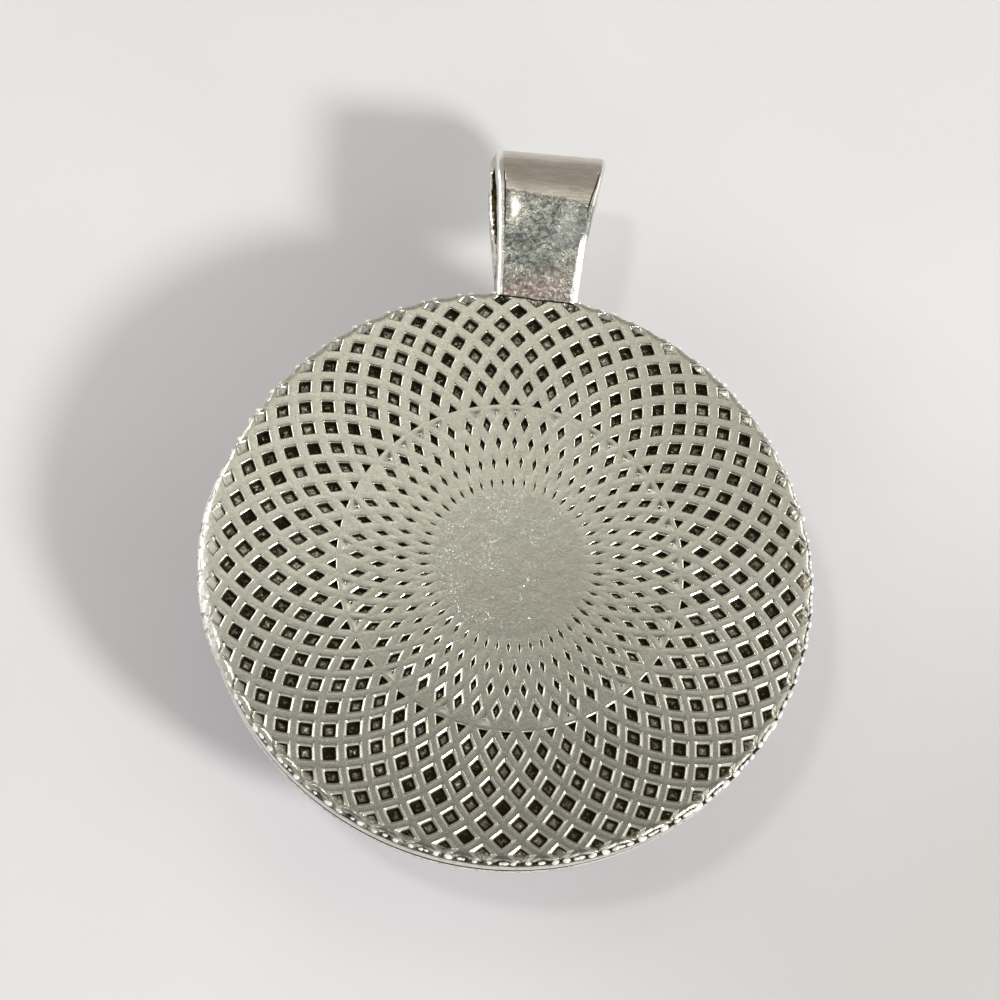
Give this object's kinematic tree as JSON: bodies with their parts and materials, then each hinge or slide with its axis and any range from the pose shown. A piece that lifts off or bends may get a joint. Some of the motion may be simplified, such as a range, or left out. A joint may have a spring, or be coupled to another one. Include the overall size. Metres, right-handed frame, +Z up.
{
  "type": "cabochon pendant",
  "caption": "Round pendant: a domed glass cabochon in a shallow metal tray with a ridged rosette back and a fixed folded strap bail, lying face down.",
  "frame": {"origin": "on the surface that the pendant lies on, below the centre of its outline box", "axes": "+Z up, away from the surface and out of the back face; +Y towards the bail; +X to the right seen from above with the bail at the top. The back face is level: the pendant rests on the small flat of its dome"},
  "size_m": [0.028, 0.0366, 0.0071],
  "materials": {
    "antique_silver": "antique silver plated casting, satin ridges, dark patina in the pits",
    "cabochon_glass": "polished lilac glass"
  },
  "bodies": {
    "root": {"setting": "antique_silver", "cabochon": "cabochon_glass"}
  },
  "joints": []
}
